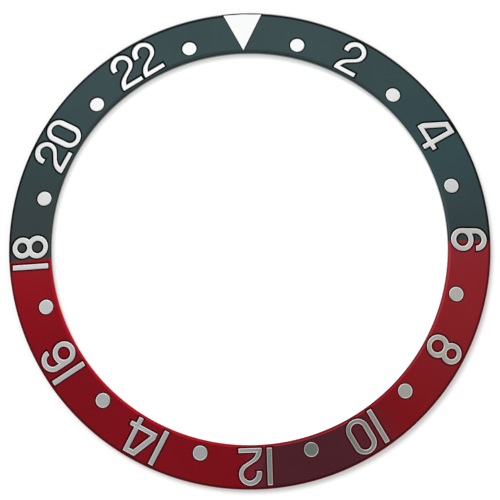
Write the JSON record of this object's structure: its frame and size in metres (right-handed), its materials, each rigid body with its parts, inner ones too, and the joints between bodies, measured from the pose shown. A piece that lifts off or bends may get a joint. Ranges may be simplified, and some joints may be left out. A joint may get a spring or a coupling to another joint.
{
  "type": "watch bezel insert",
  "caption": "Conical two-colour anodised bezel insert ring for a watch, with an engraved 24-hour scale, a triangle at the top and a snap-in rim.",
  "frame": {"origin": "centre of the seat plane, on the ring's axis", "axes": "+Z out through the numbered face, +Y from the centre to the 24-hour triangle, +X to the 6-hour numeral"},
  "size_m": [0.0378, 0.0378, 0.0014],
  "materials": {
    "anodised_ring": "satin anodised, dark green-grey over the day half and deep red over the night half, with turned grain",
    "silver_lacquer": "fine silver lacquer, flush in engraved pockets"
  },
  "bodies": {
    "root": {"hour_24_triangle": "silver_lacquer", "hour_dot_01": "silver_lacquer", "hour_dot_03": "silver_lacquer", "hour_dot_05": "silver_lacquer", "hour_dot_07": "silver_lacquer", "hour_dot_09": "silver_lacquer", "hour_dot_11": "silver_lacquer", "hour_dot_13": "silver_lacquer", "hour_dot_15": "silver_lacquer", "hour_dot_17": "silver_lacquer", "hour_dot_19": "silver_lacquer", "hour_dot_21": "silver_lacquer", "hour_dot_23": "silver_lacquer", "insert_ring": "anodised_ring", "numeral_02": "silver_lacquer", "numeral_04": "silver_lacquer", "numeral_06": "silver_lacquer", "numeral_08": "silver_lacquer", "numeral_10": "silver_lacquer", "numeral_12": "silver_lacquer", "numeral_14": "silver_lacquer", "numeral_16": "silver_lacquer", "numeral_18": "silver_lacquer", "numeral_20": "silver_lacquer", "numeral_22": "silver_lacquer"}
  },
  "joints": []
}
